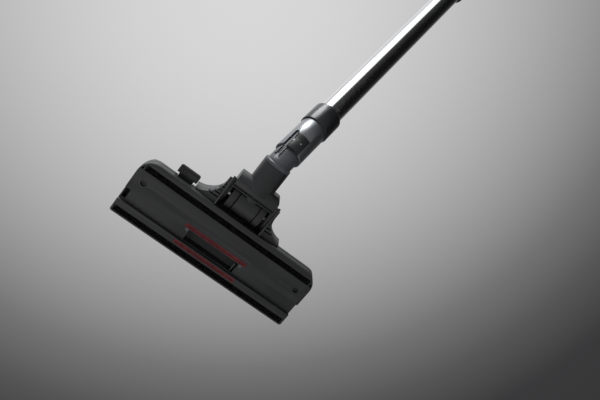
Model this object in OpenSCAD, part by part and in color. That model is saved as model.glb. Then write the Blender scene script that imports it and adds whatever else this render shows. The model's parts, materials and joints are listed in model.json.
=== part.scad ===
// Vacuum cleaner floor head on a telescopic wand.
// Worked out with the sole on z = 0 and its centre on the Z axis, front edge towards -Y,
// and then moved so that the origin is the centre of the wand's open top end.

/* [Sole] */
// Width of the head
head_w = 279; // [230:1:340]
// Depth of the sole, front edge to rear edge
head_d = 88.6; // [80:0.2:110]
// Radius of the two front corners
front_corner_r = 3; // [2:0.5:8]
// Radius of the two rear corners
rear_corner_r = 22; // [12:1:28]
// Wall of the moulded base and cover
wall = 1.8; // [1.4:0.1:2.4]
// Height of the base's rim
base_h = 9; // [8.5:0.5:12]
// Width of the slot that each bristle row moves through
slot_w = 8.6; // [7.5:0.1:10]
// Plastic left in front of the front slot
front_lip = 2; // [1.9:0.1:3]
// Flat land between the front slot and the suction channel
front_land = 9.2; // [8:0.1:14]
// Width of the suction channel, which runs out at both ends
channel_w = 19.8; // [14:0.1:24]
// Height of the suction channel
channel_h = 6; // [5:0.25:6.5]
// Step behind the channel that carries the rear lint strip
step_w = 7.2; // [6:0.1:9]
// Height of that step over the sole
step_z = 1.8; // [1:0.1:2.5]
// Slope from the step down to the rear land
slope_w = 9.2; // [5:0.1:12]
// Plastic left behind the rear slot
rear_rim = 7.9; // [6:0.1:12]
// Width of the suction mouth in the channel's roof
mouth_w = 80; // [60:1:100]

/* [Lint strips and bristles] */
// Length of both velvet strips
lint_l = 98; // [70:1:120]
// Width of a velvet strip
lint_w = 6; // [4:0.1:7]
// How far the velvet stands out of its seat
lint_proud = 0.7; // [0.4:0.1:1.2]
// Number of tuft blocks along a bristle row
tuft_blocks = 10; // [6:1:14]
// Gap between two tuft blocks
tuft_gap = 3; // [2:0.5:6]
// How far the bristle tips sit above the sole when raised
bristle_lift = 0.8; // [0.5:0.1:2]
// Travel of the brush carriage
brush_travel = 5; // [3:0.5:6]

/* [Cover] */
// Height of the cover at its back wall
cover_back_h = 19; // [16:0.5:24]
// Height of the cover's highest line
cover_top_h = 32; // [28:0.5:36]
// Height of the cover at the front edge
cover_front_h = 20; // [19:0.5:23]
// Width of the pedal's tab
pedal_w = 30; // [24:0.5:36]
// Distance of the pedal from the head's middle
pedal_x = 84; // [72:0.5:92]
// How far the pedal's tab stands out behind the head
pedal_reach = 14.5; // [10:0.5:20]
// Rocking angle of the pedal
pedal_angle = 12; // [8:0.5:14]

/* [Knuckle] */
// Distance of the tilt axis behind the rear edge of the sole
tilt_back = 20.2; // [20:0.1:28]
// Height of the tilt axis over the sole
tilt_z = 17; // [16.5:0.1:20]
// Radius of the wheels, which stand a little proud of the sole
wheel_r = 17.5; // [14:0.1:17.6]
// Width of a wheel
wheel_w = 9.6; // [7:0.1:12]
// Outer radius of the knuckle's shell
shell_r = 21.6; // [21.4:0.1:24]
// Thickness of the knuckle's shell
shell_t = 1.8; // [1.4:0.1:2.2]
// Outer width of the knuckle
knuckle_w = 63.4; // [58:0.2:70]
// Width of the air drum between the wheels
drum_w = 31; // [26:0.2:34]
// Radius of the two hinge pins
pin_r = 3; // [2:0.1:4]
// Thickness of a cheek of the cover
cheek_t = 2.4; // [2:0.1:3.5]
// Free space between knuckle and cheek
cheek_gap = 3.2; // [2:0.1:4]
// How far the cheeks reach behind the tilt axis
cheek_back = 27; // [24:0.5:32]
// How far the flare stands out from the cheek at the cover
flare_out = 30; // [20:1:34]

/* [Neck and elbow] */
// Rise of the neck over the sole when it rests on its lower stop
neck_rise = 5.5; // [4:0.5:8]
// Outer radius of the neck tube
neck_r = 19.4; // [18.6:0.1:20.4]
// Wall of the neck tube
neck_wall = 1.5; // [1.3:0.1:1.7]
// Length from the tilt axis to the neck's rim
neck_l = 65.5; // [60:0.1:80]
// Bend of the elbow
bend = 40.5; // [30:0.5:50]
// Turn of the elbow about the neck, negative towards -X
swing = -17; // [-40:1:40]
// Outer radius of the elbow's spigot in the sleeve
elbow_r = 15.8; // [14:0.1:16.2]
// Wall of the elbow's pipe
elbow_wall = 1.6; // [1.4:0.1:2]
// Thickness of the elbow's lip ring
lip_t = 5; // [2:0.1:6]

/* [Wand] */
// Distance from the elbow to the sleeve's mouth
sleeve_at = 23; // [21:0.5:30]
// Length of the sleeve
sleeve_l = 60; // [56:1:80]
// Outer radius of the sleeve
sleeve_r = 20.2; // [19.6:0.1:21]
// Length of the dark collar
collar_l = 39; // [30:1:50]
// Outer radius of the dark collar
collar_r = 22; // [21.5:0.1:23]
// Outer radius of the lower steel tube
tube_r = 17.5; // [17.3:0.1:18]
// Wall of the lower steel tube
tube_wall = 0.9; // [0.7:0.1:1.1]
// Length of the lower steel tube
tube_l = 478; // [400:1:600]
// Outer radius of the upper steel tube
upper_r = 15.9; // [15.2:0.1:16]
// Wall of the upper steel tube
upper_wall = 0.8; // [0.7:0.1:1]
// How far the wand can be pulled out
extension = 250; // [100:1:280]
// Length of the locking housing at the top of the lower tube
housing_l = 70; // [60:1:90]
// Outer radius of the locking housing
housing_r = 22.5; // [22:0.1:24]
// Upper tube left bare between housing and ferrule
bare_l = 38; // [30:1:80]
// Length of the ferrule at the open end
ferrule_l = 56; // [50:1:80]
// Radius of the socket that the handle goes into
socket_r = 16.1; // [15.5:0.1:16.5]
// Depth of that socket
socket_l = 40; // [30:1:45]
// Outer radius of the ferrule
ferrule_r = 19; // [18.6:0.1:20]

/* [Hidden] */

$fn = 96;
tiny = 0.01;
cut = 1;
// Clearances: a seated piece, a running shaft, and two bodies that pass each other
seat_gap = 0.1;
run_gap = 0.05;
pass_gap = 0.4;

// Lines across the sole, front to back
front_y = -head_d / 2;
rear_y = head_d / 2;
fslot_y0 = front_y + front_lip;
fslot_y1 = fslot_y0 + slot_w;
channel_y0 = fslot_y1 + front_land;
channel_y1 = channel_y0 + channel_w;
step_y1 = channel_y1 + step_w;
slope_y1 = step_y1 + slope_w;
rslot_y1 = rear_y - rear_rim;
rslot_y0 = rslot_y1 - slot_w;
fslot_l = head_w - 2 * wall - 2;
rslot_l = head_w - 2 * rear_corner_r - 2 * wall - 1
    + 2 * sqrt(pow(rear_corner_r, 2) - pow(rslot_y1 - rear_y + rear_corner_r, 2));
roof_z = channel_h + wall;

// Brush
holder_h = 6;
holder_w = slot_w - 2 * pass_gap;
bristle_root = bristle_lift + 5.2;
carriage_z = bristle_root + holder_h;
front_row_y = fslot_y0 + slot_w / 2;
rear_row_y = rslot_y0 + slot_w / 2;
arm_x = head_w / 2 - 34;
arm_z = base_h + brush_travel + 0.6;
arm_t = 2;
post_h = 2.4;

// Pedal: a lever hinged in front of the carriage's post
lever_x = pedal_w / 2 - 4;
lug_t = 2;
shaft_r = 1.5;
pedal_under = 1.2;
pedal_over = 1.8;
pedal_y = rear_row_y - brush_travel / sin(pedal_angle);
pedal_z = arm_z + post_h + 0.8 + pedal_under;

// Knuckle
tilt_y = rear_y + tilt_back;
seat_r = shell_r + pass_gap + 0.2;
hood_x = drum_w / 2 + 4.5;
shell_in = shell_r - shell_t;
drum_r = wheel_r - 0.4;
side_x = knuckle_w / 2;
cheek_x = side_x + cheek_gap;
wheel_x = drum_w / 2 + 1.3 + wheel_w / 2;
tyre_t = 2.4;
block_end = tilt_y + 36.5;
block_r = 11.5;
corner_r = 8;
foot_z = 0.8;
neck_start = shell_in + 6;
nozzle_r = drum_w / 2 - 0.5;
front_rim_angle = 176;
window_angle = 132;
cover_edge_angle = 129;

// Neck and wand
elbow_l = neck_l + 0.5;
neck_bore = neck_r - neck_wall;
spigot_r = neck_bore - run_gap;
spigot_s = neck_l - 26;
ring_s = neck_l - 20;
ring_in = spigot_r - 1;
spigot_l = 17;
turn_r = (neck_bore - 0.1) * cos(bend);
turn_bore = turn_r - 1.4;
ball_extra = 0.2;
band_r = elbow_r + 1.3;
elbow_bore = elbow_r - elbow_wall;
sleeve_bore = elbow_r + seat_gap + 0.9;
spigot_end = sleeve_at + 34;
tube_at = spigot_end + 4;
collar_at = sleeve_at + sleeve_l;
tube_end = tube_at + tube_l;
tube_bore = tube_r - tube_wall;
housing_at = tube_end - 18;
housing_end = housing_at + housing_l;
ferrule_at = housing_end + bare_l;
wand_len = ferrule_at + ferrule_l;
upper_at = tube_end - extension - 45;
upper_end = wand_len - socket_l - 3;
button_l = 26;
button_w = 16;
button_travel = 6;
pawl_lift = 1.5;
bed_r = sleeve_bore + 0.6;
lever_r = sleeve_r + 0.3;
lever_in = lever_r - 1.6;
lever_x0 = -12;
lever_x1 = 8;
lever_s0 = sleeve_at - 0.5;
lever_end = 28;
rail_s0 = 6;
hook_x = 3.8;
lug_x = 5.6;
latch_pivot = sleeve_at + 15;

wand_dir = [
    sin(bend) * sin(swing),
    cos(bend) * cos(neck_rise) - sin(bend) * cos(swing) * sin(neck_rise),
    cos(bend) * sin(neck_rise) + sin(bend) * cos(swing) * cos(neck_rise)];
elbow_at = [0, tilt_y + elbow_l * cos(neck_rise), tilt_z + elbow_l * sin(neck_rise)];
wand_top = elbow_at + wand_len * wand_dir;

plastic_dark = [0.10, 0.10, 0.11];
plastic_mid = [0.20, 0.20, 0.21];
plastic_grey = [0.45, 0.46, 0.48];
steel = [0.75, 0.76, 0.78];
rubber = [0.05, 0.05, 0.05];
velvet_red = [0.65, 0.08, 0.10];

// ---------- frames ----------

// Moves everything so that the wand's open end is the origin
module placed() translate(-wand_top) children();

module at_tilt() translate([0, tilt_y, tilt_z]) children();

// Z along the neck, Y towards the floor, distance s from the tilt axis
module on_neck(s) at_tilt() rotate([neck_rise - 90, 0, 0]) translate([0, 0, s]) children();

// Z along the wand, Y towards its underside, distance s from the elbow
module on_wand(s)
    at_tilt() rotate([neck_rise, 0, 0]) translate([0, elbow_l, 0])
        rotate([0, swing, 0]) rotate([bend - 90, 0, 0]) translate([0, 0, s]) children();

// ---------- general shapes ----------

module tube(h, r_out, r_in) difference() {
    cylinder(h = h, r = r_out);
    translate([0, 0, -cut]) cylinder(h = h + 2 * cut, r = r_in);
}

// A round bar across the head, centred
module across(w, r) rotate([0, 90, 0]) cylinder(h = w, r = r, center = true);

// A box given by its two corners
module block(lo, hi) translate(lo) cube(hi - lo);

// An outline in Y and Z pushed across the head, centred
module across_profile(points, w) rotate([90, 0, 90]) linear_extrude(w, center = true) polygon(points);

// Points on a circle round the tilt axis, in Y and Z
function rim(r, a) = [tilt_y + r * cos(a), tilt_z + r * sin(a)];

// The head's plan, drawn in by d all round
module plan(d = 0) {
    x = head_w / 2 - d;
    y0 = front_y + d;
    y1 = rear_y - d;
    rf = max(front_corner_r - d, 0.5);
    rr = max(rear_corner_r - d, 0.5);
    for (side = [-1, 1]) {
        translate([side * (x - rf), y0 + rf]) circle(rf);
        translate([side * (x - rr), y1 - rr]) circle(rr);
    }
    translate([-x + rf, y0]) square([2 * (x - rf), head_d - 2 * d - rr]);
    translate([-x, y0 + rf]) square([2 * x, head_d - 2 * d - rr - rf]);
    translate([-x + rr, y0 + rf]) square([2 * (x - rr), head_d - 2 * d - rf]);
}

// A coil spring standing on z = 0, as a swept eight-sided wire
module coil(r, wire, turns, h) {
    sides = 8;
    rings = 12 * turns;
    function ring_at(i) = [
        for (k = [0 : sides - 1])
            let (a = 360 * turns * i / rings, b = 360 * k / sides)
            [(r + wire * cos(b)) * cos(a), (r + wire * cos(b)) * sin(a),
                wire + (h - 2 * wire) * i / rings + wire * sin(b)]];
    points = [for (i = [0 : rings]) each ring_at(i)];
    walls = [
        for (i = [0 : rings - 1], k = [0 : sides - 1])
            let (n = (k + 1) % sides)
            [i * sides + k, (i + 1) * sides + k, (i + 1) * sides + n, i * sides + n]];
    ends = [
        [for (k = [0 : sides - 1]) k],
        [for (k = [sides - 1 : -1 : 0]) rings * sides + k]];
    polyhedron(points, concat(walls, ends));
}

// ---------- head ----------

// The moulded section of the sole: lands, channel, step and slope
module sole_section() {
    across_profile([[fslot_y1, 0], [channel_y0, 0], [channel_y0, wall], [fslot_y1, wall]], head_w);
    across_profile([[fslot_y1, 0], [fslot_y1 + wall, 0], [fslot_y1 + wall, base_h],
        [fslot_y1, base_h]], head_w);
    across_profile([[channel_y0 - wall, 0], [channel_y0, 0], [channel_y0, channel_h],
        [channel_y1, channel_h], [channel_y1, step_z], [step_y1, step_z], [slope_y1, 0],
        [rslot_y0, 0], [rslot_y0, base_h], [rslot_y0 - wall, base_h], [rslot_y0 - wall, wall],
        [slope_y1, wall], [step_y1, step_z + wall], [channel_y1 + wall, step_z + wall],
        [channel_y1 + wall, roof_z], [channel_y0 - wall, roof_z]], head_w);
    across_profile([[rslot_y1, 0], [rear_y, 0], [rear_y, wall], [rslot_y1 + wall, wall],
        [rslot_y1 + wall, base_h], [rslot_y1, base_h]], head_w);
    block([-head_w / 2, front_y, 0], [head_w / 2, fslot_y0, base_h]);
}

module sole_plate() placed() color(plastic_dark) difference() {
    union() {
        intersection() {
            linear_extrude(base_h) plan();
            sole_section();
        }
        difference() {
            linear_extrude(base_h) plan();
            translate([0, 0, -cut]) linear_extrude(base_h + 2 * cut) plan(wall);
            block([-head_w, channel_y0, -cut], [head_w, channel_y1, channel_h]);
        }
        // slot ends
        for (side = [-1, 1], slot = [[fslot_y0, fslot_l], [rslot_y0, rslot_l]])
            translate([side * (slot[1] / 2 + wall / 2), slot[0] + slot_w / 2, base_h / 2])
                cube([wall, slot_w, base_h], center = true);
        for (side = [-1, 1])
            translate([side * screw_x, screw_y, 0]) cylinder(h = base_h, r = screw_boss_r);
    }
    // suction mouth
    block([-mouth_w / 2, channel_y0 + 1.5, channel_h - cut],
        [mouth_w / 2, channel_y1 - 1.5, roof_z + cut]);
    // recess round the rear velvet strip, rounded at its far corners
    translate([0, 0, -cut]) linear_extrude(step_z + cut) {
        translate([-recess_l / 2, channel_y1 - cut]) square([recess_l, step_w + cut]);
        translate([-recess_l / 2 + recess_r, step_y1 - cut])
            square([recess_l - 2 * recess_r, recess_w + cut]);
        for (side = [-1, 1])
            translate([side * (recess_l / 2 - recess_r), step_y1]) circle(recess_r);
    }
    // side inlet in the channel's roof
    block([head_w / 2 - 8, channel_y0 + 2.6, channel_h - cut],
        [head_w / 2 - wall, channel_y1 - 3, roof_z + cut]);
    // counterbored screw holes
    for (side = [-1, 1])
        translate([side * screw_x, screw_y, 0]) {
            translate([0, 0, -cut]) cylinder(h = cut + screw_z + screw_head_t, r = screw_head_r + 0.6);
            translate([0, 0, -cut]) cylinder(h = base_h + 2 * cut, r = screw_r + seat_gap);
        }
    // seats of the velvet strips
    translate([0, front_lint_y, 0]) cube([lint_l + 2 * seat_gap, lint_w + 2 * seat_gap, 2 * lint_seat],
        center = true);
    translate([0, rear_lint_y, step_z]) cube([lint_l + 2 * seat_gap, lint_w + 2 * seat_gap,
        2 * lint_seat], center = true);
    // holes for the studs
    for (side = [-1, 1]) translate([side * stud_x, stud_y, channel_h - cut])
        cylinder(h = wall + 2 * cut, r = stud_r);
    // clearance for the knuckle
    at_tilt() across(2 * cheek_x, seat_r);
}

screw_x = head_w / 2 - 16.5;
screw_y = rslot_y0 - 15.5;
screw_r = 1.7;
screw_head_r = 3.6;
screw_head_t = 2.8;
screw_z = 3;
screw_boss_r = 6;
recess_l = 108;
recess_w = 6.6;
recess_r = 6.6;
lint_seat = 0.9;
front_lint_y = channel_y0 - 1.2 - lint_w / 2;
rear_lint_y = channel_y1 + 0.6 + lint_w / 2;
stud_x = mouth_w / 2 + 3.4;
stud_y = channel_y1 - 3;
stud_r = 1.6;

module lint_strip(y, z) placed() color(velvet_red)
    block([-lint_l / 2, y - lint_w / 2, z - lint_proud], [lint_l / 2, y + lint_w / 2, z + lint_seat]);

module front_lint_strip() lint_strip(front_lint_y, 0);

module rear_lint_strip() lint_strip(rear_lint_y, step_z);

module lint_strip_studs() placed() color(plastic_grey)
    for (side = [-1, 1]) translate([side * stud_x, stud_y, channel_h - 0.8]) {
        cylinder(h = 0.8, r = stud_r + 1);
        cylinder(h = 0.8 + wall, r = stud_r);
    }

module base_screws() placed() color(steel)
    for (side = [-1, 1]) translate([side * screw_x, screw_y, screw_z]) difference() {
        union() {
            cylinder(h = screw_head_t - seat_gap, r = screw_head_r);
            cylinder(h = base_h + 3, r = screw_r);
        }
        for (turn = [0, 90]) rotate(turn) translate([0, 0, -tiny])
            cube([4, 1, 2.4], center = true);
    }

// Outline of the cover from the side, drawn in by d
function cover_side(d) = [
    [front_y + d, base_h], [front_y + d, cover_front_h - 4 - d],
    [front_y + 4 + d * 0.6, cover_front_h - d], [front_y + 34, cover_top_h - 3 - d],
    [front_y + 46, cover_top_h - d], [rear_y - 16, cover_top_h - d],
    [rear_y - 4 - d * 0.6, cover_back_h + 3 - d], [rear_y - d, cover_back_h - 2 - d],
    [rear_y - d, base_h]];

// Side outline of a cheek: it climbs from its rear tip to the cover's top
cheek_side = [
    [rear_y + seat_gap, 1.5], [tilt_y + cheek_back - 2, 1.5], [tilt_y + cheek_back, 4],
    [tilt_y + cheek_back - 3, 8], [tilt_y + 9, 20], [tilt_y, 27], [rear_y + 6, cover_top_h + 3],
    [rear_y - 2, cover_top_h + 5], [rear_y - 16, cover_top_h], [rear_y - wall, cover_back_h - 4],
    [rear_y - wall, base_h], [rear_y + seat_gap, base_h]];

// Plan of one flare: a concave sweep from the cheek out to the cover's back wall
module flare_plan() difference() {
    translate([cheek_x, rear_y - 12]) square([flare_out + flare_x - cheek_x, flare_end - rear_y + 12]);
    translate([flare_x + flare_out, flare_y]) circle(flare_out);
    translate([flare_x, flare_y]) square(2 * flare_out);
    translate([flare_x + 3, rear_y - 40]) square([2 * flare_out, 40 - 0.6 + tiny]);
    translate([pedal_x - pedal_w / 2 - 1.2, rear_y - 0.6]) square(2 * flare_out);
    // rounded tip
    translate([flare_x - tip_r, flare_end - tip_r]) difference() {
        square(2 * tip_r);
        circle(tip_r);
    }
}

flare_x = cheek_x + cheek_t + 3;
flare_y = rear_y + flare_out + 1.5;
flare_end = tilt_y + cheek_back;
tip_r = 5.4;
ribs = 5;

// Outer face of the flare at y
function sweep_x(y) = flare_x + flare_out - sqrt(pow(flare_out, 2) - pow(y - flare_y, 2));

// Inner web that closes the upper part of the gap between cheek and knuckle
web_side = [[tilt_y - 14, 12], [tilt_y + 20, 6], [tilt_y + cheek_back - 1, 5],
    [tilt_y + cheek_back - 3, 8], [tilt_y + 9, 20], [tilt_y, 27], [rear_y + 6, cover_top_h + 3]];

module cheek_web(side) difference() {
    translate([side * (cheek_x - cheek_gap / 2 + pass_gap / 2), 0, 0])
        across_profile(web_side, cheek_gap - pass_gap + tiny);
    at_tilt() across(head_w, pin_r + seat_gap);
}

// Tunnel behind the highest line, where the duct meets the knuckle
module hood(d) block([-hood_x + d, rear_y - 24, base_h],
    [hood_x - d, rear_y + 4, cover_top_h - d]);

module cover_outer() {
    hood(0);
    intersection() {
        translate([0, 0, base_h]) linear_extrude(cover_top_h) plan();
        across_profile(cover_side(0), head_w);
        cover_ends(0);
    }
}

// The cover falls away towards both ends
module cover_ends(d) rotate([90, 0, 0]) linear_extrude(2 * head_d, center = true)
    polygon([[-head_w / 2 + d, 0], [head_w / 2 - d, 0], [head_w / 2 - d, cover_back_h - 4 - d],
        [head_w / 2 - 8 - d, cover_back_h + 2 - d], [head_w / 2 - 44, cover_top_h - 3 - d],
        [head_w / 2 - 60, cover_top_h - d], [-head_w / 2 + 60, cover_top_h - d],
        [-head_w / 2 + 44, cover_top_h - 3 - d], [-head_w / 2 + 8 + d, cover_back_h + 2 - d],
        [-head_w / 2 + d, cover_back_h - 4 - d]]);

module cover_inner() {
    hood(wall);
    intersection() {
        translate([0, 0, base_h - cut]) linear_extrude(cover_top_h) plan(wall);
        across_profile(concat([[front_y + wall, base_h - cut]], [for (i = [0 : 8])
            cover_side(wall)[i]], [[rear_y - wall, base_h - cut]]), head_w);
        cover_ends(wall);
    }
}

module head_cover() placed() color(plastic_mid) {
    cover_body();
    for (side = [-1, 1]) cheek_web(side);
}

module cover_body() difference() {
    union() {
        difference() {
            cover_outer();
            cover_inner();
        }
        // the saddle round the knuckle, open to the rear
        intersection() {
            at_tilt() across(2 * cheek_x + 2 * cheek_t, seat_r + wall);
            block([-head_w, rear_y - 12, base_h], [head_w, tilt_y, cover_top_h + 20]);
        }
        for (side = [0, 1]) mirror([side, 0, 0]) {
            translate([cheek_x, 0, 0]) rotate([90, 0, 90]) linear_extrude(cheek_t)
                polygon(cheek_side);
            intersection() {
                translate([0, 0, base_h + 1]) linear_extrude(60) flare_plan();
                across_profile(cheek_side, head_w);
            }
        }
        // screw bosses that reach down to the base, and the lugs of the pedal's shaft
        intersection() {
            cover_outer();
            union() {
                for (side = [-1, 1]) translate([side * screw_x, screw_y, base_h])
                    cylinder(h = cover_top_h, r = screw_boss_r - 1);
                for (side = [-1, 1])
                    translate([pedal_x + side * (lever_x + pass_gap + lug_t / 2), pedal_y,
                        pedal_z - 3.5 + cover_top_h / 2])
                        cube([lug_t, 8, cover_top_h], center = true);
            }
        }
    }
    // slots between the flares' ribs
    for (side = [0, 1], i = [0 : ribs - 1]) mirror([side, 0, 0])
        let (y = rear_y + 7 + 5.4 * i)
        block([cheek_x + 1.5, y, base_h], [sweep_x(y) - 1, y + 2, base_h + 7]);
    at_tilt() across(2 * cheek_x, seat_r);
    // room above the knuckle for the neck to rise
    across_profile(concat([[tilt_y, tilt_z]], [rim(60, cover_edge_angle - 38)],
        [rim(60, cover_edge_angle - 12)], [rim(seat_r + wall + 12, cover_edge_angle)]), 2 * cheek_x);
    block([-cheek_x, tilt_y, -cut], [cheek_x, tilt_y + 60, 90]);
    // air window to the knuckle
    across_profile([rim(10, window_angle + 20), rim(40, window_angle + 20), rim(40, front_rim_angle),
        rim(10, front_rim_angle)], drum_w - 6);
    // bores of the hinge pins
    at_tilt() across(head_w, pin_r + seat_gap);
    // slot that the pedal's lever comes out of, and the bores of its shaft
    block([pedal_x - lever_x - pass_gap, rear_y - 7, base_h - cut],
        [pedal_x + lever_x + pass_gap, rear_y + cut, pedal_z + pedal_over + pass_gap]);
    translate([pedal_x, pedal_y, pedal_z]) across(3 * lever_x, shaft_r + run_gap);
    for (side = [-1, 1]) translate([side * screw_x, screw_y, base_h - cut])
        cylinder(h = 7 + cut, r = screw_r + run_gap);
}

// Plan of the air duct between the mouth and the knuckle, drawn in by d
module duct_plan(d) polygon([
    [-mouth_w / 2 - 2.4 + d, channel_y0 + d], [mouth_w / 2 + 2.4 - d, channel_y0 + d],
    [mouth_w / 2 + 2.4 - d, channel_y1 + 2], [drum_w / 2 - 1.4 - d, rear_y - 5],
    [drum_w / 2 - 1.4 - d, rear_y + 14], [-drum_w / 2 + 1.4 + d, rear_y + 14],
    [-drum_w / 2 + 1.4 + d, rear_y - 5], [-mouth_w / 2 - 2.4 + d, channel_y1 + 2]]);

duct_top = cover_top_h - wall - 1.5;
duct_wall = 1.4;
duct_floor = arm_z + arm_t + pass_gap;

// Side outline of the duct, drawn in by d: it steps up over the rear bristle row
function duct_side(d) = [
    [channel_y0 + d, roof_z + tiny + d], [rslot_y0 - wall - 0.6 - d, roof_z + tiny + d],
    [rslot_y0 - wall - 0.6 - d, duct_floor + d], [tilt_y, duct_floor + d],
    [tilt_y, duct_top - d], [channel_y0 + d, duct_top - d]];

module duct_solid(d) intersection() {
    linear_extrude(2 * cover_top_h) duct_plan(d);
    across_profile(duct_side(d), head_w);
    union() {
        across_profile(cover_side(wall + 1.5 + d), head_w);
        hood(wall + 0.5 + d);
        block([-head_w, front_y, 0], [head_w, rear_y, base_h + tiny]);
    }
}

module air_duct() placed() color(plastic_dark) difference() {
    duct_solid(0);
    duct_solid(duct_wall);
    block([-mouth_w / 2, channel_y0 + 1.5, 0], [mouth_w / 2, channel_y1 - 1.5, roof_z + wall + cut]);
    at_tilt() across(head_w, seat_r + wall + seat_gap);
}

// Rubber frame between the duct and the knuckle's shell
module duct_seal() placed() color(rubber) difference() {
    intersection() {
        at_tilt() across(drum_w - 6 - 2 * seat_gap, seat_r + wall);
        across_profile([rim(10, window_angle + 21), rim(40, window_angle + 21),
            rim(40, front_rim_angle - 1), rim(10, front_rim_angle - 1)], head_w);
    }
    at_tilt() across(head_w, shell_r + pass_gap);
    across_profile([rim(10, window_angle + 24), rim(40, window_angle + 24),
        rim(40, front_rim_angle - 4), rim(10, front_rim_angle - 4)], drum_w - 10);
}

// ---------- brush ----------

module bristle_holder(y, l) placed() color(plastic_dark)
    block([-l / 2, y - holder_w / 2, bristle_root], [l / 2, y + holder_w / 2, carriage_z]);

module bristles(y, l) placed() color(rubber)
    for (i = [0 : tuft_blocks - 1], row = [-1, 1])
        translate([(i + 0.5 - tuft_blocks / 2) * l / tuft_blocks, y + row * holder_w / 4,
            (bristle_lift + bristle_root) / 2])
            cube([l / tuft_blocks - tuft_gap, holder_w / 2 - 1, bristle_root - bristle_lift],
                center = true);

module front_bristle_holder() bristle_holder(front_row_y, fslot_l - 2 * pass_gap);

module front_bristles() bristles(front_row_y, fslot_l - 2 * pass_gap);

module rear_bristle_holder() bristle_holder(rear_row_y, rslot_l - 2 * pass_gap);

module rear_bristles() bristles(rear_row_y, rslot_l - 2 * pass_gap);

// Two ribs that hold the rows, joined by arms that pass over the base
module brush_carriage() placed() color(plastic_dark) {
    for (y = [front_row_y, rear_row_y])
        block([-arm_x - 4, y - 2, carriage_z], [arm_x + 4, y + 2, arm_z]);
    for (side = [-1, 1])
        block([side * arm_x - 4, front_row_y - 2, arm_z],
            [side * arm_x + 4, rear_row_y + 2, arm_z + arm_t]);
    // post under the pedal's lever
    block([pedal_x - 5, rear_row_y - 1.5, arm_z], [pedal_x + 5, rear_row_y + 1.5, arm_z + post_h]);
}

spring_r = 2.6;
spring_wire = 0.4;

module carriage_springs() placed() color(steel)
    for (side = [-1, 1]) translate([side * arm_x, (channel_y0 + channel_y1) / 2, roof_z + 0.05])
        coil(spring_r, spring_wire, 3, arm_z - roof_z - 0.1);

// ---------- pedal ----------

module pedal() placed() color(plastic_dark) difference() {
    union() {
        // lever from the shaft out to the tab
        block([pedal_x - lever_x, pedal_y, pedal_z - pedal_under],
            [pedal_x + lever_x, rear_y + 4, pedal_z + pedal_over]);
        translate([pedal_x, pedal_y, pedal_z]) across(2 * lever_x, shaft_r + 1.8);
        // tab with rounded corners
        block([pedal_x - pedal_w / 2, rear_y + 2.2, pedal_z - pedal_under],
            [pedal_x + pedal_w / 2, rear_y + pedal_reach - 3, pedal_z + pedal_over]);
        block([pedal_x - pedal_w / 2 + 3, rear_y + 2.2, pedal_z - pedal_under],
            [pedal_x + pedal_w / 2 - 3, rear_y + pedal_reach, pedal_z + pedal_over]);
        for (side = [-1, 1])
            translate([pedal_x + side * (pedal_w / 2 - 3), rear_y + pedal_reach - 3,
                pedal_z - pedal_under])
                cylinder(h = pedal_under + pedal_over, r = 3);
    }
    translate([pedal_x, pedal_y, pedal_z]) across(pedal_w, shaft_r + run_gap);
    // hollow under the tab
    block([pedal_x - pedal_w / 2 + 2, rear_y + 4.2, pedal_z - pedal_under - cut],
        [pedal_x + pedal_w / 2 - 2, rear_y + pedal_reach - 2, pedal_z - 0.2]);
    // bay of the spring
    translate([pedal_x + 5, pedal_y, pedal_z]) across(6, 5);
}

module pedal_shaft() placed() color(steel)
    translate([pedal_x, pedal_y, pedal_z]) across(2 * (lever_x + pass_gap + lug_t), shaft_r);

module pedal_spring() placed() color(steel)
    translate([pedal_x + 2.6, pedal_y, pedal_z]) rotate([0, 90, 0]) coil(2.4, 0.4, 3, 4.8);

// ---------- wheels ----------

module hinge_pins() placed() color(steel)
    for (side = [-1, 1]) translate([side * (cheek_x + cheek_t - pin_l / 2), 0, 0])
        at_tilt() across(pin_l, pin_r);

pin_l = cheek_x + cheek_t - drum_w / 2 - 0.3;

module wheel_at(side) placed() translate([side * wheel_x, 0, 0]) at_tilt() children();

module wheel_body(side) wheel_at(side) color(plastic_mid) rotate([0, 90, 0]) difference() {
    cylinder(h = wheel_w, r = wheel_r - tyre_t, center = true);
    cylinder(h = wheel_w + cut, r = pin_r + run_gap, center = true);
    for (end = [-1, 1]) translate([0, 0, end * wheel_w / 2]) difference() {
        cylinder(h = 4, r = wheel_r - tyre_t - 2, center = true);
        cylinder(h = 5, r = pin_r + 2.4, center = true);
    }
}

module wheel_tyre(side) wheel_at(side) color(rubber) rotate([0, 90, 0]) difference() {
    union() {
        cylinder(h = wheel_w - 1.6, r = wheel_r, center = true);
        cylinder(h = wheel_w, r = wheel_r - 0.8, center = true);
    }
    cylinder(h = wheel_w + cut, r = wheel_r - tyre_t, center = true);
}

module left_wheel() wheel_body(1);

module right_wheel() wheel_body(-1);

module left_tyre() wheel_tyre(1);

module right_tyre() wheel_tyre(-1);

// ---------- knuckle and neck ----------

// Underside of the knuckle: open from the shell's front rim down to the foot of the block
foot_y = tilt_y + shell_in - 0.2;
under_side = [[tilt_y - 60, tilt_z + 1.5], rim(shell_r, front_rim_angle), [foot_y, foot_z],
    [foot_y, -60], [tilt_y - 60, -60]];

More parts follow.
